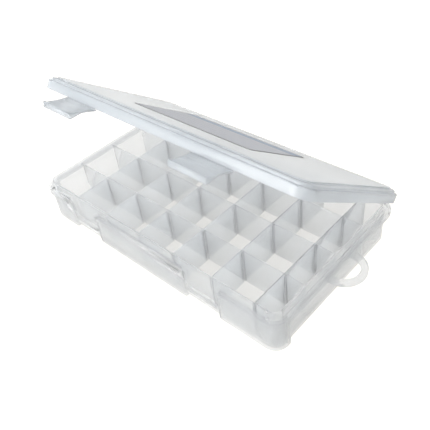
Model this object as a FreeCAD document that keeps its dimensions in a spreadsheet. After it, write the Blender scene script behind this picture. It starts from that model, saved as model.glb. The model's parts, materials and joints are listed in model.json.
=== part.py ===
# Compartment storage box of moulded polypropylene, with a hinged lid and two latches.
# Frame: X along the front, -Y to the front, +Z up. Origin: middle of the tray's underside.
# Every piece is drawn with the lid shut and latched, then its Placement opens it.

import FreeCAD
import Part
import Sketcher
import math
import os
import re

# Driving sizes in millimetres, angles in degrees
SIZES = {
    # Tray: compartments, wall and floor
    "inner_length": 268.0,
    "inner_width": 149.6,
    "wall": 2.0,
    "floor": 1.8,
    "rim_height": 39.5,
    "corner_radius": 9.0,
    "foot_radius": 1.5,
    # Flange round the tray, with a lip turned down from its edge
    "flange_reach": 5.0,
    "ledge_height": 33.5,
    "flange_thickness": 1.8,
    "lip_depth": 4.6,
    "lip_wall": 1.6,
    # Fixed walls between the rows
    "row_wall": 1.4,
    "row_pitch": 39.15,
    "divider_top": 37.5,
    # Slots for the cross dividers
    "column_pitch": 41.45,
    "rib_depth": 1.0,
    "rib_thickness": 0.7,
    "rib_drop": 1.5,
    "divider_thickness": 1.2,
    "slot_clearance": 0.15,
    "end_clearance": 0.2,
    "divider_foot_chamfer": 1.2,
    "divider_top_chamfer": 0.6,
    # Apron under the front flange, left open at the two latches
    "apron_reach": 3.0,
    "apron_wall": 1.6,
    "apron_turn": 3.0,
    "apron_foot_gap": 0.8,
    "recess_clearance": 0.7,
    "catch_clearance": 0.4,
    "catch_thickness": 2.2,
    "catch_gap": 0.3,
    # Half-round hang loop on the right end
    "loop_radius": 18.5,
    "loop_bar": 5.5,
    "loop_thickness": 3.2,
    "loop_root": 1.0,
    # Lid
    "lid_margin": 0.3,
    "lid_gap": 0.3,
    "lid_wall": 1.6,
    "skirt_height": 7.7,
    "shoulder_inset": 2.6,
    "shoulder_height": 2.4,
    "panel_inset": 7.0,
    "panel_height": 1.2,
    "skirt_edge_radius": 0.8,
    "shoulder_edge_radius": 1.2,
    "panel_edge_radius": 0.8,
    # Hinge: bars on the tray, clips on the lid
    "hinge_pitch": 95.0,
    "hinge_drop": 0.3,
    "pin_radius": 1.6,
    "pin_clearance": 0.05,
    "ear_radius": 3.0,
    "ear_thickness": 3.0,
    "clip_radius": 3.4,
    "clip_width": 13.4,
    "clip_gap": 0.3,
    "clip_root": 3.5,
    "clip_mouth": 2.6,
    # Latches
    "latch_left_offset": 82.5,
    "latch_right_offset": 63.8,
    "latch_width": 35.0,
    "latch_length": 24.0,
    "latch_thickness": 1.4,
    "latch_flare": 2.0,
    "flare_length": 8.0,
    "flare_share": 1.2,
    "fold_gap": 0.3,
    "hook_reach": 3.0,
    "hook_height": 2.4,
    "hook_lead": 0.8,
    "hook_web": 1.4,
    "web_length": 12.0,
    "grip_reach": 1.0,
    "grip_thickness": 1.6,
    # Label on the lid
    "label_length": 130.0,
    "label_width": 84.0,
    "label_radius": 4.0,
    "label_thickness": 0.2,
    # How far the cuts run past the material, and how near an edge is to be picked
    "overrun": 2.0,
    "pick_distance": 0.01,
    # Pose in the photo
    "lid_open_angle": 34.7,
    "latch_open_angle": 72.0,
}
ROW_WALLS = (-1, 0, 1)
ROWS = 4
SLOTS = 6
HINGES = 3

# Sizes that follow from the driving ones
INNER_X = "(inner_length / 2)"
INNER_Y = "(inner_width / 2)"
WALL_X = f"({INNER_X} + wall)"
WALL_Y = f"({INNER_Y} + wall)"
FLANGE_X = f"({WALL_X} + flange_reach)"
FLANGE_Y = f"({WALL_Y} + flange_reach)"
FLANGE_RADIUS = "(corner_radius + flange_reach)"
LIP_BOTTOM = "(ledge_height - lip_depth)"
APRON_X = f"({WALL_X} + apron_reach)"
APRON_RADIUS = "(corner_radius + apron_reach)"
LID_X = f"({FLANGE_X} - lid_margin)"
LID_Y = f"({FLANGE_Y} - lid_margin)"
LID_RADIUS = f"({FLANGE_RADIUS} - lid_margin)"
LID_BOTTOM = "(ledge_height + lid_gap)"
SKIRT_TOP = f"({LID_BOTTOM} + skirt_height)"
SHOULDER_TOP = f"({SKIRT_TOP} + shoulder_height)"
PANEL_TOP = f"({SHOULDER_TOP} + panel_height)"
HINGE_Y = FLANGE_Y
HINGE_Z = "(ledge_height - hinge_drop - ear_radius)"
STATION_WIDTH = "(clip_width + 2 * clip_gap)"
LATCH_FACE = f"(-{LID_Y})"
LATCH_BACK = f"(-{LID_Y} + latch_thickness)"
FOLD_Y = f"(-{LID_Y} + latch_thickness / 2)"
FOLD_Z = f"({LID_BOTTOM} - fold_gap - latch_thickness / 2)"
LATCH_END = f"({FOLD_Z} - latch_length)"
LATCH_ROOT = "(latch_width / 2 + latch_flare)"
RECESS = "(latch_width / 2 + recess_clearance)"
HOOK_BAY = "(latch_width / 2 - hook_web)"
CATCH = f"({HOOK_BAY} - recess_clearance)"
NOTCH = f"({LATCH_ROOT} + recess_clearance)"
LATCH_X = {"left": "(-latch_left_offset)", "right": "(latch_right_offset)"}

doc = FreeCAD.newDocument("compartment_storage_box")
sheet = doc.addObject("Spreadsheet::Sheet", "Sizes")
for cell, (alias, size) in enumerate(SIZES.items(), start=1):
    sheet.set(f"A{cell}", str(size))
    sheet.setAlias(f"A{cell}", alias)
doc.recompute()


def bound(text):
    """An expression on the sheet, from words that name its sizes."""
    return re.sub(r"[a-z_]+", lambda m: f"Sizes.{m.group()}" if m.group() in SIZES else m.group(), text)


def number(text):
    """The value that such an expression has now."""
    return float(sheet.evalExpression(bound(text)))


def new_body(label):
    body = doc.addObject("PartDesign::Body", label)
    body.Label = label
    return body


def new_sketch(body, name, plane, offset="0"):
    """A sketch on one of the body's own planes, raised along its normal."""
    sketch = body.newObject("Sketcher::SketchObject", name)
    support = [f for f in body.Origin.OriginFeatures if f.Role == plane][0]
    sketch.AttachmentSupport = [(support, "")]
    sketch.MapMode = "FlatFace"
    sketch.setExpression(".AttachmentOffset.Base.z", bound(offset))
    return sketch


def place(sketch, kind, geometry, point, text):
    """Ties one coordinate of a sketch point to the sheet."""
    index = sketch.addConstraint(Sketcher.Constraint(kind, -1, 1, geometry, point, number(text)))
    sketch.setExpression(f"Constraints[{index}]", bound(text))


def outline(sketch, points):
    """A closed outline of straight lines through the points."""
    corners = [FreeCAD.Vector(number(x), number(y), 0) for x, y in points]
    count = len(points)
    first = len(sketch.Geometry)
    for i, corner in enumerate(corners):
        sketch.addGeometry(Part.LineSegment(corner, corners[(i + 1) % count]), False)
    for i, (x, y) in enumerate(points):
        sketch.addConstraint(
            Sketcher.Constraint("Coincident", first + i, 2, first + (i + 1) % count, 1))
        place(sketch, "DistanceX", first + i, 1, x)
        place(sketch, "DistanceY", first + i, 1, y)


def rectangle(sketch, x0, x1, y0, y1):
    outline(sketch, [(x0, y0), (x1, y0), (x1, y1), (x0, y1)])


def circle(sketch, x, y, radius):
    centre = FreeCAD.Vector(number(x), number(y), 0)
    index = sketch.addGeometry(Part.Circle(centre, FreeCAD.Vector(0, 0, 1), number(radius)), False)
    place(sketch, "DistanceX", index, 3, x)
    place(sketch, "DistanceY", index, 3, y)
    size = sketch.addConstraint(Sketcher.Constraint("Radius", index, number(radius)))
    sketch.setExpression(f"Constraints[{size}]", bound(radius))


def arc(sketch, x, y, radius, start, end):
    """Adds an arc between two angles in degrees and returns its index."""
    ring = Part.Circle(FreeCAD.Vector(x, y, 0), FreeCAD.Vector(0, 0, 1), radius)
    return sketch.addGeometry(Part.ArcOfCircle(ring, math.radians(start), math.radians(end)), False)


def line(sketch, x0, y0, x1, y1):
    return sketch.addGeometry(
        Part.LineSegment(FreeCAD.Vector(x0, y0, 0), FreeCAD.Vector(x1, y1, 0)), False)


def rounded_rectangle(sketch, half_x, half_y, radius):
    """A rectangle about the origin with its four corners rounded."""
    a, b, r = number(half_x), number(half_y), number(radius)
    sides = [
        line(sketch, r - a, -b, a - r, -b),
        line(sketch, a, r - b, a, b - r),
        line(sketch, a - r, b, r - a, b),
        line(sketch, -a, b - r, -a, r - b),
    ]
    corners = [
        arc(sketch, a - r, r - b, r, -90, 0),
        arc(sketch, a - r, b - r, r, 0, 90),
        arc(sketch, r - a, b - r, r, 90, 180),
        arc(sketch, r - a, r - b, r, 180, 270),
    ]
    for i in range(4):
        sketch.addConstraint(Sketcher.Constraint("Tangent", sides[i], 2, corners[i], 1))
        sketch.addConstraint(Sketcher.Constraint("Tangent", corners[i], 2, sides[(i + 1) % 4], 1))
        sketch.addConstraint(Sketcher.Constraint(("Horizontal", "Vertical")[i % 2], sides[i]))
    for corner in corners[1:]:
        sketch.addConstraint(Sketcher.Constraint("Equal", corners[0], corner))
    sketch.addConstraint(Sketcher.Constraint("Symmetric", corners[0], 3, corners[2], 3, -1, 1))
    place(sketch, "DistanceX", sides[1], 1, half_x)
    place(sketch, "DistanceY", sides[2], 1, half_y)
    size = sketch.addConstraint(Sketcher.Constraint("Radius", corners[0], r))
    sketch.setExpression(f"Constraints[{size}]", bound(radius))


def half_disc(sketch, flat_x, centre_x, radius):
    """A half disc on the X axis, with straight sides back to a flat end."""
    flat, centre, r = number(flat_x), number(centre_x), number(radius)
    low = line(sketch, flat, -r, centre, -r)
    bow = arc(sketch, centre, 0, r, -90, 90)
    high = line(sketch, centre, r, flat, r)
    end = line(sketch, flat, r, flat, -r)
    sketch.addConstraint(Sketcher.Constraint("Tangent", low, 2, bow, 1))
    sketch.addConstraint(Sketcher.Constraint("Tangent", bow, 2, high, 1))
    sketch.addConstraint(Sketcher.Constraint("Coincident", high, 2, end, 1))
    sketch.addConstraint(Sketcher.Constraint("Coincident", end, 2, low, 1))
    sketch.addConstraint(Sketcher.Constraint("Horizontal", low))
    sketch.addConstraint(Sketcher.Constraint("Horizontal", high))
    sketch.addConstraint(Sketcher.Constraint("Vertical", end))
    sketch.addConstraint(Sketcher.Constraint("PointOnObject", bow, 3, -1))
    place(sketch, "DistanceX", bow, 3, centre_x)
    place(sketch, "DistanceX", end, 1, flat_x)
    size = sketch.addConstraint(Sketcher.Constraint("Radius", bow, r))
    sketch.setExpression(f"Constraints[{size}]", bound(radius))


def extrude(kind, sketch, name, length, side="One side", turned=False):
    """Pads or pockets a sketch in its own body."""
    body = sketch.getParentGeoFeatureGroup()
    feature = body.newObject(f"PartDesign::{kind}", name)
    feature.Profile = sketch
    feature.SideType = side
    feature.Reversed = turned
    feature.setExpression("Length", bound(length))
    doc.recompute()
    return feature


def pad(sketch, name, length, side="One side"):
    return extrude("Pad", sketch, name, length, side)


def pocket(sketch, name, length, side="One side", turned=False):
    """Cuts a sketch out of its body, and stops if nothing was cut."""
    body = sketch.getParentGeoFeatureGroup()
    before = body.Shape.Volume
    feature = extrude("Pocket", sketch, name, length, side, turned)
    if body.Shape.Volume >= before:
        raise RuntimeError(f"{name} cut nothing")
    return feature


def repeat(features, name, sketch, count, length):
    """Copies features in a row along X, the first one staying in place."""
    body = sketch.getParentGeoFeatureGroup()
    pattern = body.newObject("PartDesign::LinearPattern", name)
    pattern.Originals = features
    pattern.Direction = ([f for f in body.Origin.OriginFeatures if f.Role == "X_Axis"][0], [""])
    pattern.Occurrences = count
    pattern.setExpression("Length", bound(length))
    body.Tip = pattern
    doc.recompute()
    return pattern


def round_edges(feature, name, radius, chosen):
    """Rounds the edges of a feature that the test picks."""
    body = feature.getParentGeoFeatureGroup()
    names = [f"Edge{i}" for i, edge in enumerate(feature.Shape.Edges, start=1) if chosen(edge)]
    fillet = body.newObject("PartDesign::Fillet", name)
    fillet.Base = (feature, names)
    fillet.setExpression("Radius", bound(radius))
    doc.recompute()
    return fillet


def at_height(text):
    """A test for edges that lie level at this height."""
    height = number(text)
    near = number("pick_distance")
    return lambda edge: all(abs(v.Point.z - height) < near for v in edge.Vertexes)


def upright_at(x, y):
    """A test for upright edges at these two places left and right of the middle."""
    place_x, place_y, near = number(x), number(y), number("pick_distance")
    return lambda edge: all(abs(abs(v.Point.x) - place_x) < near and abs(v.Point.y - place_y) < near
                            for v in edge.Vertexes)


def turn(angle, y, z):
    """A Placement expression that turns a piece open about an axis along X."""
    return bound(
        "create(<<placement>>; create(<<vector>>; 0; 0; 0); "
        f"create(<<rotation>>; create(<<vector>>; 1; 0; 0); -{angle}); create(<<vector>>; 0; {y}; {z}))")


def hinge_station(body, name, arm, radius, width):
    """An arm with a round eye on the hinge axis, at the first hinge station."""
    arm_sketch = new_sketch(body, f"{name}_arm_sketch", "YZ_Plane", "-hinge_pitch")
    outline(arm_sketch, arm)
    arm_pad = pad(arm_sketch, f"{name}_arm", width, "Symmetric")
    eye_sketch = new_sketch(body, f"{name}_eye_sketch", "YZ_Plane", "-hinge_pitch")
    circle(eye_sketch, HINGE_Y, HINGE_Z, radius)
    return [arm_pad, pad(eye_sketch, f"{name}_eye", width, "Symmetric")]


def make_tray():
    body = new_body("base_tray")

    # Outer wall and floor, with the lower edge rounded
    shell = new_sketch(body, "shell_plan", "XY_Plane")
    rounded_rectangle(shell, WALL_X, WALL_Y, "corner_radius")
    block = pad(shell, "shell", "rim_height")
    round_edges(block, "foot_edge", "foot_radius", at_height("0"))
    hollow = new_sketch(body, "hollow_plan", "XY_Plane", "rim_height")
    rounded_rectangle(hollow, INNER_X, INNER_Y, "corner_radius - wall")
    pocket(hollow, "hollow", "rim_height - floor")

    # Fixed walls between the rows
    rows = new_sketch(body, "row_wall_plan", "XY_Plane", "floor")
    for side in ROW_WALLS:
        middle = f"({side} * row_pitch)"
        rectangle(rows, f"-{INNER_X} - wall / 2", f"{INNER_X} + wall / 2",
                  f"{middle} - row_wall / 2", f"{middle} + row_wall / 2")
    pad(rows, "row_walls", "divider_top - floor")

    # Pairs of ribs that hold each divider, one slot drawn and the rest repeated
    ribs = new_sketch(body, "rib_plan", "XY_Plane", "floor")
    slot_x = f"(column_pitch - {INNER_X})"
    near = "(divider_thickness / 2 + slot_clearance)"
    far = f"({near} + rib_thickness)"
    walls = [(f"{side} * row_pitch - row_wall / 2 - rib_depth",
              f"{side} * row_pitch + row_wall / 2 + rib_depth") for side in ROW_WALLS]
    walls.append((f"-{INNER_Y} - wall / 2", f"-{INNER_Y} + rib_depth"))
    walls.append((f"{INNER_Y} - rib_depth", f"{INNER_Y} + wall / 2"))
    for y0, y1 in walls:
        rectangle(ribs, f"{slot_x} - {far}", f"{slot_x} - {near}", y0, y1)
        rectangle(ribs, f"{slot_x} + {near}", f"{slot_x} + {far}", y0, y1)
    first_slot = pad(ribs, "ribs", "divider_top - floor - rib_drop")
    repeat([first_slot], "rib_row", ribs, SLOTS, f"{SLOTS - 1} * column_pitch")

    # Front apron: a panel between the latches, and one at each end that turns the corner
    apron = new_sketch(body, "apron_plan", "XY_Plane", "apron_foot_gap")
    front = f"(-{WALL_Y} - apron_reach)"
    inside = f"({front} + apron_wall)"
    back = f"(wall / 2 - {WALL_Y})"
    x0 = f"({LATCH_X['left']} + {RECESS})"
    x1 = f"({LATCH_X['right']} - {RECESS})"
    outline(apron, [
        (x0, back), (x0, front), (x1, front), (x1, back),
        (f"{x1} - apron_wall", back), (f"{x1} - apron_wall", inside),
        (f"{x0} + apron_wall", inside), (f"{x0} + apron_wall", back),
    ])
    end = f"({front} + {APRON_RADIUS} + apron_turn)"
    for side, sign in (("left", "-"), ("right", "+")):
        edge = f"({LATCH_X[side]} {sign} {RECESS})"
        outer = f"(0 {sign} {APRON_X})"
        inner = f"(0 {sign} ({APRON_X} - apron_wall))"
        rooted = f"(0 {sign} ({INNER_X} + wall / 2))"
        outline(apron, [
            (edge, back), (edge, front), (outer, front), (outer, end),
            (rooted, end), (rooted, f"{end} - apron_wall"), (inner, f"{end} - apron_wall"),
            (inner, inside), (f"{edge} {sign} apron_wall", inside), (f"{edge} {sign} apron_wall", back),
        ])
    panels = pad(apron, "apron", "ledge_height - apron_foot_gap")
    panels = round_edges(panels, "apron_corners", APRON_RADIUS, upright_at(APRON_X, front))
    round_edges(panels, "apron_inner_corners", f"{APRON_RADIUS} - apron_wall",
                upright_at(f"{APRON_X} - apron_wall", inside))

    # Flange that the lid shuts on, and the lip turned down from its edge
    flange = new_sketch(body, "flange_plan", "XY_Plane", "ledge_height - flange_thickness")
    rounded_rectangle(flange, FLANGE_X, FLANGE_Y, FLANGE_RADIUS)
    rounded_rectangle(flange, f"{INNER_X} + wall / 2", f"{INNER_Y} + wall / 2", "corner_radius - wall / 2")
    pad(flange, "flange", "flange_thickness")
    lip = new_sketch(body, "lip_plan", "XY_Plane", LIP_BOTTOM)
    rounded_rectangle(lip, FLANGE_X, FLANGE_Y, FLANGE_RADIUS)
    rounded_rectangle(lip, f"{FLANGE_X} - lip_wall", f"{FLANGE_Y} - lip_wall", f"{FLANGE_RADIUS} - lip_wall")
    pad(lip, "lip", "lip_depth")

    # The flange is open at each latch, and a ledge on the wall catches its hook
    notch = new_sketch(body, "notch_plan", "XY_Plane", "ledge_height + overrun")
    catch_height = f"({LATCH_END} + hook_height + catch_gap)"
    catch = new_sketch(body, "catch_plan", "XY_Plane", catch_height)
    for middle in LATCH_X.values():
        rectangle(notch, f"{middle} - {NOTCH}", f"{middle} + {NOTCH}", f"-{FLANGE_Y} - overrun", f"-{WALL_Y}")
        rectangle(catch, f"{middle} - {CATCH}", f"{middle} + {CATCH}",
                  f"{LATCH_BACK} + catch_clearance", back)
    pocket(notch, "latch_notches", "lip_depth + overrun")
    pad(catch, "catch_ledges", "catch_thickness")

    # Hang loop under the flange of the right end
    loop = new_sketch(body, "loop_plan", "XY_Plane", f"{LIP_BOTTOM} - loop_thickness")
    half_disc(loop, f"{WALL_X} - wall / 2", FLANGE_X, "loop_radius")
    half_disc(loop, f"{WALL_X} + loop_root", FLANGE_X, "loop_radius - loop_bar")
    pad(loop, "hang_loop", "loop_thickness")

    # Hinge ears at notches in the back flange, with a round bar between each two
    width = f"({STATION_WIDTH} + 2 * ear_thickness)"
    arm = [
        (f"{WALL_Y} - wall / 2", f"{HINGE_Z} - ear_radius"),
        (HINGE_Y, f"{HINGE_Z} - ear_radius"),
        (HINGE_Y, f"{HINGE_Z} + ear_radius"),
        (f"{WALL_Y} - wall / 2", f"{HINGE_Z} + ear_radius"),
    ]
    station = hinge_station(body, "ear", arm, "ear_radius", width)
    gap = new_sketch(body, "ear_gap_plan", "YZ_Plane", "-hinge_pitch")
    rectangle(gap, WALL_Y, f"{HINGE_Y} + ear_radius + overrun",
              f"{HINGE_Z} - ear_radius - overrun", "ledge_height + overrun")
    station.append(pocket(gap, "ear_gap", STATION_WIDTH, "Symmetric"))
    bar = new_sketch(body, "bar_plan", "YZ_Plane", "-hinge_pitch")
    circle(bar, HINGE_Y, HINGE_Z, "pin_radius")
    station.append(pad(bar, "hinge_bar", f"{STATION_WIDTH} + ear_thickness", "Symmetric"))
    repeat(station, "hinge_row", bar, HINGES, f"{HINGES - 1} * hinge_pitch")
    return body


def make_lid():
    body = new_body("lid")

    # Skirt, shoulder and raised panel, each with its upper edge rounded
    steps = [
        ("skirt", "0", LID_BOTTOM, "skirt_height", "skirt_edge_radius"),
        ("shoulder", "shoulder_inset", SKIRT_TOP, "shoulder_height", "shoulder_edge_radius"),
        ("panel", "panel_inset", SHOULDER_TOP, "panel_height", "panel_edge_radius"),
    ]
    for name, inset, low, height, radius in steps:
        plan = new_sketch(body, f"{name}_plan", "XY_Plane", low)
        rounded_rectangle(plan, f"{LID_X} - {inset}", f"{LID_Y} - {inset}", f"{LID_RADIUS} - {inset}")
        block = pad(plan, name, height)
        round_edges(block, f"{name}_edge", radius, at_height(f"{low} + {height}"))

    # Hollow underside, which follows the steps at one thickness
    for name, inset, low, height, radius in steps:
        inside = f"({inset} + lid_wall)"
        plan = new_sketch(body, f"{name}_hollow_plan", "XY_Plane", LID_BOTTOM)
        rounded_rectangle(plan, f"{LID_X} - {inside}", f"{LID_Y} - {inside}", f"{LID_RADIUS} - {inside}")
        pocket(plan, f"{name}_hollow", f"{low} + {height} - lid_wall - {LID_BOTTOM}", turned=True)

    # Snap clips under the skirt that close round the tray's hinge bars, open below
    arm = [
        (f"{HINGE_Y} - clip_radius", HINGE_Z),
        (f"{HINGE_Y} + clip_radius", HINGE_Z),
        (f"{LID_Y} - lid_wall / 2", f"{LID_BOTTOM} + clip_root"),
        (f"{LID_Y} - lid_wall", LID_BOTTOM),
    ]
    station = hinge_station(body, "clip", arm, "clip_radius", "clip_width")
    bore = new_sketch(body, "bore_plan", "YZ_Plane", "-hinge_pitch")
    circle(bore, HINGE_Y, HINGE_Z, "pin_radius + pin_clearance")
    station.append(pocket(bore, "clip_bore", "clip_width + overrun", "Symmetric"))
    mouth = new_sketch(body, "mouth_plan", "YZ_Plane", "-hinge_pitch")
    rectangle(mouth, f"{HINGE_Y} - clip_mouth / 2", f"{HINGE_Y} + clip_mouth / 2",
              f"{HINGE_Z} - clip_radius - overrun", HINGE_Z)
    station.append(pocket(mouth, "clip_mouth", "clip_width + overrun", "Symmetric"))
    repeat(station, "clip_row", mouth, HINGES, f"{HINGES - 1} * hinge_pitch")

    body.setExpression("Placement", turn("lid_open_angle", HINGE_Y, HINGE_Z))
    return body


def make_latch(side, lid):
    body = new_body(f"latch_{side}")
    middle = LATCH_X[side]

    # Flap with a webbed hook inside and a finger lip outside, and a round root on the fold
    flap = new_sketch(body, f"flap_profile_{side}", "YZ_Plane", middle)
    outline(flap, [
        (LATCH_FACE, FOLD_Z),
        (LATCH_FACE, f"{LATCH_END} + grip_thickness + grip_reach"),
        (f"{LATCH_FACE} - grip_reach", f"{LATCH_END} + grip_thickness"),
        (f"{LATCH_FACE} - grip_reach", LATCH_END),
        (f"{LATCH_BACK} + hook_reach - hook_lead", LATCH_END),
        (f"{LATCH_BACK} + hook_reach", f"{LATCH_END} + hook_lead"),
        (f"{LATCH_BACK} + hook_reach", f"{LATCH_END} + hook_height"),
        (LATCH_BACK, f"{LATCH_END} + web_length"),
        (LATCH_BACK, FOLD_Z),
    ])
    pad(flap, f"flap_{side}", f"2 * {LATCH_ROOT}", "Symmetric")
    bay = new_sketch(body, f"hook_bay_{side}", "YZ_Plane", middle)
    rectangle(bay, LATCH_BACK, f"{LATCH_BACK} + hook_reach + overrun",
              f"{LATCH_END} + hook_height", f"{LATCH_END} + web_length + overrun")
    pocket(bay, f"hook_bay_cut_{side}", f"2 * {HOOK_BAY}", "Symmetric")
    root = new_sketch(body, f"root_profile_{side}", "YZ_Plane", middle)
    circle(root, FOLD_Y, FOLD_Z, "latch_thickness / 2")
    pad(root, f"root_{side}", f"2 * {LATCH_ROOT}", "Symmetric")

    # Sides cut back to the flap's width, flared out to the root
    shoulder = f"({FOLD_Z} - latch_thickness / 2)"
    sides = new_sketch(body, f"side_cuts_{side}", "XZ_Plane", "0")
    for sign in ("-", "+"):
        edge = f"({middle} {sign} latch_width / 2)"
        outside = f"({middle} {sign} ({LATCH_ROOT} + overrun))"
        outline(sides, [
            (edge, f"{LATCH_END} - overrun"), (edge, f"{shoulder} - flare_length"),
            (f"{middle} {sign} {LATCH_ROOT}", shoulder),
            (outside, shoulder), (outside, f"{LATCH_END} - overrun"),
        ])
    cut = pocket(sides, f"side_cut_{side}", f"2 * ({LID_Y} + grip_reach + overrun)", "Symmetric")
    near = number("pick_distance")
    bends = [number(f"{middle} - latch_width / 2"), number(f"{middle} + latch_width / 2")]

    def at_bend(edge):
        return all(abs(v.Point.z - number(f"{shoulder} - flare_length")) < near
                   and min(abs(v.Point.x - x) for x in bends) < near for v in edge.Vertexes)

    round_edges(cut, f"flare_{side}", "flare_share * flare_length * flare_length / latch_flare", at_bend)
    body.setExpression("Placement", f"{lid.Name}.Placement * " + turn("latch_open_angle", FOLD_Y, FOLD_Z))
    return body


def make_divider(row, slot):
    body = new_body(f"divider_row{row}_slot{slot}")
    bounds = [f"(-{INNER_Y})"]
    faces = {-1: "(-row_pitch {} row_wall / 2)", 0: "(0 {} row_wall / 2)", 1: "(row_pitch {} row_wall / 2)"}
    for side in ROW_WALLS:
        bounds.append(faces[side].format("-"))
        bounds.append(faces[side].format("+"))
    bounds.append(f"({INNER_Y})")
    low = f"({bounds[2 * row - 2]} + end_clearance)"
    high = f"({bounds[2 * row - 1]} - end_clearance)"

    # Plate with its corners cut off, standing on the floor between the ribs
    plate = new_sketch(body, f"plate_{row}_{slot}", "YZ_Plane", f"{slot} * column_pitch - {INNER_X}")
    outline(plate, [
        (f"{low} + divider_foot_chamfer", "floor"),
        (f"{high} - divider_foot_chamfer", "floor"),
        (high, "floor + divider_foot_chamfer"),
        (high, "divider_top - divider_top_chamfer"),
        (f"{high} - divider_top_chamfer", "divider_top"),
        (f"{low} + divider_top_chamfer", "divider_top"),
        (low, "divider_top - divider_top_chamfer"),
        (low, "floor + divider_foot_chamfer"),
    ])
    pad(plate, f"divider_{row}_{slot}", "divider_thickness", "Symmetric")
    return body


def make_label(lid):
    body = new_body("lid_label")
    card = new_sketch(body, "label_plan", "XY_Plane", PANEL_TOP)
    rounded_rectangle(card, "label_length / 2", "label_width / 2", "label_radius")
    pad(card, "label", "label_thickness")
    body.setExpression("Placement", f"{lid.Name}.Placement")
    return body


tray = make_tray()
lid = make_lid()
pieces = [tray, lid, make_latch("left", lid), make_latch("right", lid), make_label(lid)]
for row in range(1, ROWS + 1):
    for slot in range(1, SLOTS + 1):
        pieces.append(make_divider(row, slot))

doc.recompute()
for thing in doc.Objects:
    if "Invalid" in thing.State or "Error" in thing.State:
        raise RuntimeError(f"{thing.Label} failed: {thing.State}")
for piece in pieces:
    if piece.Shape.isNull() or not piece.Shape.isValid() or len(piece.Shape.Solids) != 1:
        raise RuntimeError(f"{piece.Label} isn't one valid solid")

os.makedirs("parts", exist_ok=True)
for piece in pieces:
    piece.Shape.exportStep(f"parts/{piece.Label}.step")
    print(piece.Label, round(piece.Shape.Volume), "mm3")
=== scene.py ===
import json
import math

import bpy
from mathutils import Matrix, Vector
from mathutils.bvhtree import BVHTree


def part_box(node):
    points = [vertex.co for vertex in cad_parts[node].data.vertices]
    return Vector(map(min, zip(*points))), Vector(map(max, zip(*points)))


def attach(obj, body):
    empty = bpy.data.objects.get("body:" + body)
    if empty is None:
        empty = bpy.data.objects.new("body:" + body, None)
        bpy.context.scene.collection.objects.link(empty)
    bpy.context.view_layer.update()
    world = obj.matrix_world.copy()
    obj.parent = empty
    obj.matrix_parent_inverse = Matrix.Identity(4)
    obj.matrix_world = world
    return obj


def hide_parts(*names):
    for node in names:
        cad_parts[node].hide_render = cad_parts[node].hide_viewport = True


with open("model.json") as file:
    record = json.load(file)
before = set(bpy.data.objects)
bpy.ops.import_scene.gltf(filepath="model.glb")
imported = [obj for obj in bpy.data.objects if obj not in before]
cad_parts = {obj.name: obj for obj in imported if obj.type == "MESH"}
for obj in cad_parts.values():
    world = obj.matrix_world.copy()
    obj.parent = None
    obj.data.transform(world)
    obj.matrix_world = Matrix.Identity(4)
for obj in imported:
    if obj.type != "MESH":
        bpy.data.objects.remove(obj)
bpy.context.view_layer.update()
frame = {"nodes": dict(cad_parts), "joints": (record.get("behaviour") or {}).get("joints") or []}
nodes = frame["nodes"]
joints = {joint["name"]: joint for joint in frame["joints"]}


# Base tray: one injection moulding of natural polypropylene, frosted and see-through.
# Floor, outer wall, row walls, divider ribs, flange, apron, hang loop and hinge bars are one
# piece, and each edge has the small radius that the mould leaves.
TRAY_EDGE = 0.0003
MERGE_DISTANCE = 0.000002
SHARP_ANGLE = math.radians(32.0)
ROUNDING_STEPS = 2
ROUNDING_SHARE = 0.6
CLOUD_DETAIL = 3.0
CLOUD_LOW = 0.35
CLOUD_HIGH = 0.65
GRAIN_DETAIL = 2.0
GRAIN_STRENGTH = 0.15
GRAIN_DEPTH = 0.0001
GLOSS = 0.5
GLOSS_ROUGHNESS = 0.2


def edit(piece):
    """Opens one piece in edit mode, with nothing else selected."""
    bpy.ops.object.select_all(action="DESELECT")
    bpy.context.view_layer.objects.active = piece
    piece.select_set(True)
    bpy.ops.object.mode_set(mode="EDIT")
    bpy.ops.mesh.select_mode(type="EDGE")


def round_sharp_edges(edge):
    """Rounds every sharp edge of the piece in edit mode."""
    bpy.ops.mesh.select_all(action="DESELECT")
    bpy.ops.mesh.edges_select_sharp(sharpness=SHARP_ANGLE)
    bpy.ops.mesh.bevel(
        offset=edge, segments=ROUNDING_STEPS, affect="EDGES", clamp_overlap=False, harden_normals=True)


def close_edit():
    """Leaves edit mode with every face smooth, so that the rounded edges shade evenly."""
    bpy.ops.object.mode_set(mode="OBJECT")
    bpy.ops.object.shade_smooth()


def set_back_corners(piece, node, edge):
    """Sets the few corners that the rounding threw off the moulded shape back on its skin."""
    shape = nodes[node].data
    points = [vertex.co for vertex in shape.vertices]
    skin = BVHTree.FromPolygons(points, [face.vertices for face in shape.polygons])
    for vertex in piece.data.vertices:
        spot, _, _, gap = skin.find_nearest(vertex.co)
        if gap > ROUNDING_SHARE * edge:
            vertex.co = spot


def moulded_copy(node, name, edge):
    """The shape of a CAD node as one merged mesh, with its sharp edges rounded."""
    piece = bpy.data.objects.new(name, nodes[node].data.copy())
    bpy.context.scene.collection.objects.link(piece)
    edit(piece)
    bpy.ops.mesh.customdata_custom_splitnormals_clear()
    bpy.ops.mesh.select_all(action="SELECT")
    bpy.ops.mesh.remove_doubles(threshold=MERGE_DISTANCE)
    round_sharp_edges(edge)
    close_edit()
    set_back_corners(piece, node, edge)
    return piece


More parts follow.
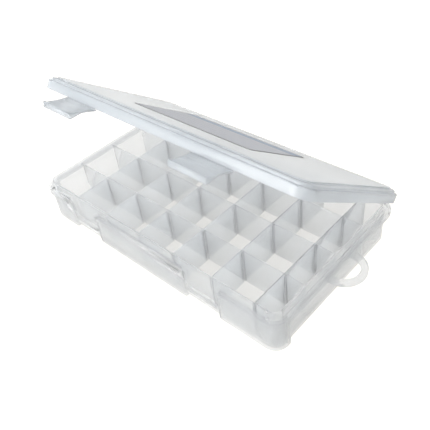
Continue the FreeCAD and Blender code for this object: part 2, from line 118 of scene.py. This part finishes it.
def moulded_surface_group():
    """Cloudy tint, uneven haze and fine tool grain, on the piece's own coordinates."""
    group = bpy.data.node_groups.new("moulded_surface", "ShaderNodeTree")
    inputs = (
        ("Tint", "NodeSocketColor", (0.9, 0.92, 0.94, 1.0)),
        ("Cloud Tint", "NodeSocketColor", (0.8, 0.84, 0.88, 1.0)),
        ("Cloud Scale", "NodeSocketFloat", 18.0),
        ("Haze Low", "NodeSocketFloat", 0.25),
        ("Haze High", "NodeSocketFloat", 0.4),
        ("Grain Scale", "NodeSocketFloat", 900.0),
    )
    outputs = (
        ("Color", "NodeSocketColor"),
        ("Haze", "NodeSocketFloat"),
        ("Grain", "NodeSocketFloat"),
    )
    for label, kind, value in inputs:
        socket = group.interface.new_socket(label, in_out="INPUT", socket_type=kind)
        socket.default_value = value
    for label, kind in outputs:
        group.interface.new_socket(label, in_out="OUTPUT", socket_type=kind)
    new, link = group.nodes.new, group.links.new
    source = new("NodeGroupInput")
    result = new("NodeGroupOutput")
    place = new("ShaderNodeTexCoord")
    cloud = new("ShaderNodeTexNoise")
    cloud.inputs["Detail"].default_value = CLOUD_DETAIL
    link(place.outputs["Object"], cloud.inputs["Vector"])
    link(source.outputs["Cloud Scale"], cloud.inputs["Scale"])
    spread = new("ShaderNodeMapRange")
    spread.inputs["From Min"].default_value = CLOUD_LOW
    spread.inputs["From Max"].default_value = CLOUD_HIGH
    link(cloud.outputs["Fac"], spread.inputs["Value"])
    tint = new("ShaderNodeMix")
    tint.data_type = "RGBA"
    link(spread.outputs["Result"], tint.inputs["Factor"])
    link(source.outputs["Tint"], tint.inputs["A"])
    link(source.outputs["Cloud Tint"], tint.inputs["B"])
    link(tint.outputs["Result"], result.inputs["Color"])
    haze = new("ShaderNodeMapRange")
    link(cloud.outputs["Fac"], haze.inputs["Value"])
    link(source.outputs["Haze Low"], haze.inputs["To Min"])
    link(source.outputs["Haze High"], haze.inputs["To Max"])
    link(haze.outputs["Result"], result.inputs["Haze"])
    grain = new("ShaderNodeTexNoise")
    grain.inputs["Detail"].default_value = GRAIN_DETAIL
    link(place.outputs["Object"], grain.inputs["Vector"])
    link(source.outputs["Grain Scale"], grain.inputs["Scale"])
    link(grain.outputs["Fac"], result.inputs["Grain"])
    return group


moulded_surface = moulded_surface_group()


def moulded_plastic(name, tint, cloud_tint, haze, clearness, glow, bend):
    """A milky see-through plastic: one shader for what is seen through it, one for scattered light.

    clearness is the share seen straight through, glow the share scattered on, bend the refraction."""
    material = bpy.data.materials.new(name)
    material.use_nodes = True
    tree = material.node_tree
    new, link = tree.nodes.new, tree.links.new
    surface = new("ShaderNodeGroup")
    surface.node_tree = moulded_surface
    surface.inputs["Tint"].default_value = (*tint, 1.0)
    surface.inputs["Cloud Tint"].default_value = (*cloud_tint, 1.0)
    surface.inputs["Haze Low"].default_value = haze[0]
    surface.inputs["Haze High"].default_value = haze[1]
    bump = new("ShaderNodeBump")
    bump.inputs["Strength"].default_value = GRAIN_STRENGTH
    bump.inputs["Distance"].default_value = GRAIN_DEPTH
    shader = tree.nodes["Principled BSDF"]
    shader.inputs["Transmission Weight"].default_value = clearness
    shader.inputs["IOR"].default_value = bend
    shader.inputs["Coat Weight"].default_value = GLOSS
    shader.inputs["Coat Roughness"].default_value = GLOSS_ROUGHNESS
    scatter = new("ShaderNodeBsdfTranslucent")
    blend = new("ShaderNodeMixShader")
    blend.inputs[0].default_value = glow
    link(surface.outputs["Color"], shader.inputs["Base Color"])
    link(surface.outputs["Haze"], shader.inputs["Roughness"])
    link(surface.outputs["Grain"], bump.inputs["Height"])
    link(bump.outputs["Normal"], shader.inputs["Normal"])
    link(surface.outputs["Color"], scatter.inputs["Color"])
    link(shader.outputs["BSDF"], blend.inputs[1])
    link(scatter.outputs["BSDF"], blend.inputs[2])
    link(blend.outputs["Shader"], tree.nodes["Material Output"].inputs["Surface"])
    return material


def finish_piece(piece, material, body, slot, *replaced):
    """Gives a piece its plastic and its body, and hides the CAD nodes that it stands for."""
    piece.data.materials.clear()
    piece.data.materials.append(material)
    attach(piece, body)
    if replaced:
        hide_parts(*replaced)


tray_plastic = moulded_plastic(
    "tray_plastic", tint=(0.922, 0.929, 0.937), cloud_tint=(0.897, 0.906, 0.916),
    haze=(0.1, 0.22), clearness=0.92, glow=0.15, bend=1.06)
tray = moulded_copy("base_tray", "tray_moulding", TRAY_EDGE)
finish_piece(tray, tray_plastic, "base", "tray", "base_tray")


# Cross dividers: 24 loose plates of the same plastic, six to a row, thinner at the top
# so that they leave the mould. Each is pushed down between two pairs of ribs.
DIVIDER_EDGE = 0.0002
FOOT_CORNER = 0.0012
TOP_CORNER = 0.0006
CORNER_STEPS = 3
TOP_TAPER = 0.8
ROWS = 4
SLOTS = 6


def select_corner_edges(plate, low, high, height):
    """Selects a plate's two corner edges at one height, and leaves it in edit mode."""
    edit(plate)
    bpy.ops.mesh.select_all(action="DESELECT")
    bpy.ops.object.mode_set(mode="OBJECT")
    points = plate.data.vertices
    for edge in plate.data.edges:
        ends = [points[i].co for i in edge.vertices]
        level = all(abs(end.z - height) < MERGE_DISTANCE for end in ends)
        at_end = any(all(abs(end.y - y) < MERGE_DISTANCE for end in ends) for y in (low.y, high.y))
        edge.select = level and at_end
    bpy.ops.object.mode_set(mode="EDIT")


def divider_plate(row):
    """One plate of a row, at its first slot."""
    low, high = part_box(f"divider_row{row}_slot1")
    middle, size = (low + high) / 2, high - low
    bpy.ops.object.select_all(action="DESELECT")
    bpy.ops.mesh.primitive_cube_add(size=1.0, location=middle)
    plate = bpy.context.object
    plate.scale = size
    bpy.ops.object.transform_apply(location=True, rotation=True, scale=True)
    for height, corner in ((low.z, FOOT_CORNER), (high.z, TOP_CORNER)):
        select_corner_edges(plate, low, high, height)
        bpy.ops.mesh.bevel(offset=corner, segments=CORNER_STEPS, affect="EDGES")
        bpy.ops.object.mode_set(mode="OBJECT")
    for vertex in plate.data.vertices:
        share = (vertex.co.z - low.z) / size.z
        vertex.co.x = middle.x + (vertex.co.x - middle.x) * (1.0 - share * (1.0 - TOP_TAPER))
    edit(plate)
    round_sharp_edges(DIVIDER_EDGE)
    close_edit()
    return plate


divider_plastic = moulded_plastic(
    "divider_plastic", tint=(0.945, 0.958, 0.972), cloud_tint=(0.925, 0.941, 0.958),
    haze=(0.1, 0.22), clearness=0.96, glow=0.2, bend=1.03)
for row in range(1, ROWS + 1):
    first = divider_plate(row)
    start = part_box(f"divider_row{row}_slot1")[0].x
    for slot in range(1, SLOTS + 1):
        node = f"divider_row{row}_slot{slot}"
        plate = first
        if slot > 1:
            plate = bpy.data.objects.new("plate", first.data.copy())
            bpy.context.scene.collection.objects.link(plate)
            plate.data.transform(Matrix.Translation((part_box(node)[0].x - start, 0, 0)))
        plate.name = f"divider_plate_{row}_{slot}"
        finish_piece(plate, divider_plastic, "base", "divider", node)


# Lid: one moulding of the same plastic with a stepped shoulder and a raised panel.
# Three clips on its back edge snap over the tray's hinge bars.
LID_EDGE = 0.0004
lid_plastic = moulded_plastic(
    "lid_plastic", tint=(0.835, 0.86, 0.887), cloud_tint=(0.80, 0.83, 0.86),
    haze=(0.12, 0.25), clearness=0.72, glow=0.24, bend=1.3)
lid = moulded_copy("lid", "lid_moulding", LID_EDGE)
finish_piece(lid, lid_plastic, "lid", "lid", "lid")


# Latches: two flaps moulded with the lid, each with a hook inside and a finger lip outside.
# A thin film of the plastic between lid and flap is the fold that they swing on.
LATCH_EDGE = 0.00025
FILM_THICKNESS = 0.0005
FILM_START = 0.0005
FILM_END = 0.0012
FILM_CUTS = 3
FILM_WAIST = 0.5
FILM_SHARE = 0.94
lid_turn = Matrix.Rotation(math.radians(joints["lid_hinge"]["range_deg"][0]), 4, "X")


def fold_film(side):
    """The film between the lid's edge and a flap's round root, thinnest in its middle."""
    low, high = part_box(f"latch_{side}")
    fold = Vector(joints[f"latch_{side}_fold"]["pos_m"])
    bpy.ops.object.select_all(action="DESELECT")
    bpy.ops.mesh.primitive_cube_add(size=1.0)
    film = bpy.context.object
    film.name = f"latch_{side}_film"
    film.scale = ((high.x - low.x) * FILM_SHARE, FILM_THICKNESS, FILM_END - FILM_START)
    film.location = (0, 0, (FILM_START + FILM_END) / 2)
    bpy.ops.object.transform_apply(location=True, rotation=True, scale=True)
    edit(film)
    bpy.ops.mesh.select_all(action="SELECT")
    bpy.ops.mesh.subdivide(number_cuts=FILM_CUTS)
    bpy.ops.object.mode_set(mode="OBJECT")
    for vertex in film.data.vertices:
        share = (vertex.co.z - FILM_START) / (FILM_END - FILM_START)
        vertex.co.y *= 1.0 - FILM_WAIST * math.sin(math.pi * share)
    film.data.transform(Matrix.Translation(fold) @ lid_turn)
    bpy.ops.object.shade_smooth_by_angle(angle=SHARP_ANGLE)
    return film


for side in ("left", "right"):
    flap = moulded_copy(f"latch_{side}", f"latch_{side}_flap", LATCH_EDGE)
    finish_piece(flap, lid_plastic, f"latch_{side}", "lid", f"latch_{side}")
    finish_piece(fold_film(side), lid_plastic, "lid", "lid")


# Label: a plain printed satin film, stuck on the lid's raised panel.
# It has a dark border, a blue-grey band at the back and a ruled pale field, and no words.
LABEL_RADIUS = 0.004
LABEL_GLOW = 0.15
BORDER_WIDTH = 0.0016
BAND_DEPTH = 0.016
RULE_PITCH = 0.012
RULE_WIDTH = 0.0006
FIELD_COLOUR = (0.60, 0.61, 0.67, 1.0)
BAND_COLOUR = (0.31, 0.40, 0.55, 1.0)
INK_COLOUR = (0.05, 0.053, 0.06, 1.0)
RULE_COLOUR = (0.36, 0.38, 0.44, 1.0)
FLECK_COLOUR = (1.0, 1.0, 1.0, 1.0)
FLECK_SCALE = 260.0
FLECK_SHARE = 0.12
SATIN_LOW = 0.25
SATIN_HIGH = 0.45


def label_size():
    """Lowest and highest corner of the label with the lid turned shut."""
    shut = lid_turn.inverted()
    hinge = Vector(joints["lid_hinge"]["pos_m"])
    points = [shut @ (v.co - hinge) + hinge for v in nodes["lid_label"].data.vertices]
    low = Vector([min(p[i] for p in points) for i in range(3)])
    high = Vector([max(p[i] for p in points) for i in range(3)])
    return low, high


def label_print():
    """The label's print, drawn in the shut lid's plane about the label's middle."""
    material = bpy.data.materials.new("label_film")
    material.use_nodes = True
    tree = material.node_tree
    new, link = tree.nodes.new, tree.links.new
    shader = tree.nodes["Principled BSDF"]
    shut = lid_turn.inverted()
    hinge = Vector(joints["lid_hinge"]["pos_m"])
    place = new("ShaderNodeTexCoord")
    flat = new("ShaderNodeMapping")
    flat.inputs["Rotation"].default_value = shut.to_euler()
    flat.inputs["Location"].default_value = hinge - shut @ hinge
    link(place.outputs["Object"], flat.inputs["Vector"])
    axes = new("ShaderNodeSeparateXYZ")
    link(flat.outputs["Vector"], axes.inputs["Vector"])

    def maths(operation, first, second=0.0):
        """One step of arithmetic on sockets or plain numbers."""
        node = new("ShaderNodeMath")
        node.operation = operation
        for socket, value in zip(node.inputs, (first, second)):
            if isinstance(value, float):
                socket.default_value = value
            else:
                link(value, socket)
        return node.outputs["Value"]

    def past_edge(distance, limit):
        """How far a place lies beyond a limit on either side of the middle."""
        return maths("MAXIMUM", maths("SUBTRACT", maths("ABSOLUTE", distance), limit), 0.0)

    def layer(below, colour, mask):
        """A colour printed over what is below, where the mask is 1."""
        node = new("ShaderNodeMix")
        node.data_type = "RGBA"
        link(mask, node.inputs["Factor"])
        if isinstance(below, tuple):
            node.inputs["A"].default_value = below
        else:
            link(below, node.inputs["A"])
        node.inputs["B"].default_value = colour
        return node.outputs["Result"]

    low, high = label_size()
    half_x, half_y = (high.x - low.x) / 2, (high.y - low.y) / 2
    across = axes.outputs["X"]
    deep = maths("SUBTRACT", axes.outputs["Y"], (low.y + high.y) / 2)
    past_x = past_edge(across, half_x - LABEL_RADIUS)
    past_y = past_edge(deep, half_y - LABEL_RADIUS)
    past_squared = maths("ADD", maths("MULTIPLY", past_x, past_x), maths("MULTIPLY", past_y, past_y))
    border = maths("GREATER_THAN", maths("SQRT", past_squared), LABEL_RADIUS - BORDER_WIDTH)
    band = maths("GREATER_THAN", deep, half_y - BAND_DEPTH)
    ruled = maths("LESS_THAN", maths("PINGPONG", deep, RULE_PITCH / 2), RULE_WIDTH / 2)
    fleck = new("ShaderNodeTexNoise")
    fleck.inputs["Scale"].default_value = FLECK_SCALE
    link(place.outputs["Object"], fleck.inputs["Vector"])
    colour = layer(FIELD_COLOUR, RULE_COLOUR, ruled)
    colour = layer(colour, BAND_COLOUR, band)
    colour = layer(colour, INK_COLOUR, border)
    colour = layer(colour, FLECK_COLOUR, maths("MULTIPLY", fleck.outputs["Fac"], FLECK_SHARE))
    link(colour, shader.inputs["Base Color"])
    satin = new("ShaderNodeMapRange")
    satin.inputs["To Min"].default_value = SATIN_LOW
    satin.inputs["To Max"].default_value = SATIN_HIGH
    link(fleck.outputs["Fac"], satin.inputs["Value"])
    link(satin.outputs["Result"], shader.inputs["Roughness"])
    through = new("ShaderNodeBsdfTranslucent")
    link(colour, through.inputs["Color"])
    film = new("ShaderNodeMixShader")
    film.inputs[0].default_value = LABEL_GLOW
    link(shader.outputs["BSDF"], film.inputs[1])
    link(through.outputs["BSDF"], film.inputs[2])
    link(film.outputs["Shader"], tree.nodes["Material Output"].inputs["Surface"])
    return material


label = nodes["lid_label"]
label.data.materials.clear()
label.data.materials.append(label_print())


# Studio floor: pale paper that is white to the camera and throws a softer light on the box.
# It lies a hair below the tray's underside, because two faces in one plane render dark.
FLOOR_SIZE = 6.0
FLOOR_GAP = 0.0003
FLOOR_WHITE = 1.0
FLOOR_LIGHT = 0.85
FLOOR_COLOUR = (1.0, 0.975, 0.925, 1.0)
PAPER_COLOUR = (0.2, 0.2, 0.2, 1.0)
PAPER_ROUGHNESS = 0.9
bpy.ops.object.select_all(action="DESELECT")
bpy.ops.mesh.primitive_plane_add(size=FLOOR_SIZE, location=(0, 0, -FLOOR_GAP))
floor = bpy.context.object
floor.name = "studio_floor"
paper = bpy.data.materials.new("studio_paper")
paper.use_nodes = True
paper_shader = paper.node_tree.nodes["Principled BSDF"]
paper_shader.inputs["Base Color"].default_value = PAPER_COLOUR
paper_shader.inputs["Roughness"].default_value = PAPER_ROUGHNESS
paper_shader.inputs["Emission Color"].default_value = FLOOR_COLOUR
seen = paper.node_tree.nodes.new("ShaderNodeLightPath")
paper_light = paper.node_tree.nodes.new("ShaderNodeMapRange")
paper_light.inputs["To Min"].default_value = FLOOR_LIGHT
paper_light.inputs["To Max"].default_value = FLOOR_WHITE
paper.node_tree.links.new(seen.outputs["Is Camera Ray"], paper_light.inputs["Value"])
paper.node_tree.links.new(paper_light.outputs["Result"], paper_shader.inputs["Emission Strength"])
floor.data.materials.append(paper)


# Studio room: soft light from all round, brightest from the front left and above.
# The camera itself sees a plain white backdrop.
BRIGHT_SIDE = Vector((-0.72, -0.55, 0.42)).normalized()
ROOM_DIM = 0.22
ROOM_BRIGHT = 1.02
ROOM_BACKDROP = 1.1
ROOM_COLOUR = (0.94, 0.97, 1.0, 1.0)
world = bpy.data.worlds.new("studio_room")
bpy.context.scene.world = world
world.use_nodes = True
room = world.node_tree
direction = room.nodes.new("ShaderNodeTexCoord")
facing = room.nodes.new("ShaderNodeVectorMath")
facing.operation = "DOT_PRODUCT"
facing.inputs[1].default_value = BRIGHT_SIDE
fade = room.nodes.new("ShaderNodeMapRange")
fade.interpolation_type = "SMOOTHSTEP"
fade.inputs["From Min"].default_value = -1.0
fade.inputs["From Max"].default_value = 1.0
fade.inputs["To Min"].default_value = ROOM_DIM
fade.inputs["To Max"].default_value = ROOM_BRIGHT
room.links.new(direction.outputs["Generated"], facing.inputs[0])
room.links.new(facing.outputs["Value"], fade.inputs["Value"])
room.nodes["Background"].inputs["Color"].default_value = ROOM_COLOUR
room_seen = room.nodes.new("ShaderNodeLightPath")
backdrop = room.nodes.new("ShaderNodeMix")
backdrop.inputs["B"].default_value = ROOM_BACKDROP
room.links.new(room_seen.outputs["Is Camera Ray"], backdrop.inputs["Factor"])
room.links.new(fade.outputs["Result"], backdrop.inputs["A"])
room.links.new(backdrop.outputs["Result"], room.nodes["Background"].inputs["Strength"])


# Key light: one large soft lamp in front of the box and above it,
# turned to the middle of the tray.
KEY_PLACE = Vector((-0.1, -1.1, 0.7))
KEY_TARGET = Vector((0, 0, 0.05))
KEY_SIZE = 1.0
KEY_POWER = 19.0
key_lamp = bpy.data.lights.new("key_light", "AREA")
key_lamp.size = KEY_SIZE
key_lamp.energy = KEY_POWER
key_light = bpy.data.objects.new("key_light", key_lamp)
bpy.context.scene.collection.objects.link(key_light)
key_light.location = KEY_PLACE
key_light.rotation_euler = (KEY_TARGET - KEY_PLACE).to_track_quat("-Z", "Y").to_euler()


# Camera: at the photograph's viewing angle, with its slight roll.
# Its lens follows from the focal length in pixels that the photograph gave.
VIEW_TURN = math.radians(47.15)
VIEW_TILT = math.radians(40.57)
VIEW_ROLL = math.radians(-7.73)
VIEW_TARGET = Vector((0.027909, -0.020003, 0.0375))
VIEW_DISTANCE = 0.463556
SENSOR_WIDTH = 36.0
FOCAL_PIXELS = 548.5
PHOTO_PIXELS = 430
NEAR_CLIP = 0.01
reach = math.cos(VIEW_TILT)
back = Vector((math.sin(VIEW_TURN) * reach, -math.cos(VIEW_TURN) * reach, math.sin(VIEW_TILT)))
right = (-back).cross(Vector((0, 0, 1))).normalized()
up = right.cross(-back)
right_rolled = right * math.cos(VIEW_ROLL) + up * math.sin(VIEW_ROLL)
up_rolled = up * math.cos(VIEW_ROLL) - right * math.sin(VIEW_ROLL)
camera_data = bpy.data.cameras.new("photo_camera")
camera_data.sensor_width = SENSOR_WIDTH
camera_data.sensor_fit = "HORIZONTAL"
camera_data.lens = SENSOR_WIDTH * FOCAL_PIXELS / PHOTO_PIXELS
camera_data.clip_start = NEAR_CLIP
camera = bpy.data.objects.new("photo_camera", camera_data)
bpy.context.scene.collection.objects.link(camera)
turned = Matrix((right_rolled, up_rolled, back)).transposed().to_4x4()
camera.matrix_world = Matrix.Translation(VIEW_TARGET + back * VIEW_DISTANCE) @ turned
bpy.context.scene.camera = camera
bpy.context.scene.view_settings.view_transform = "Standard"
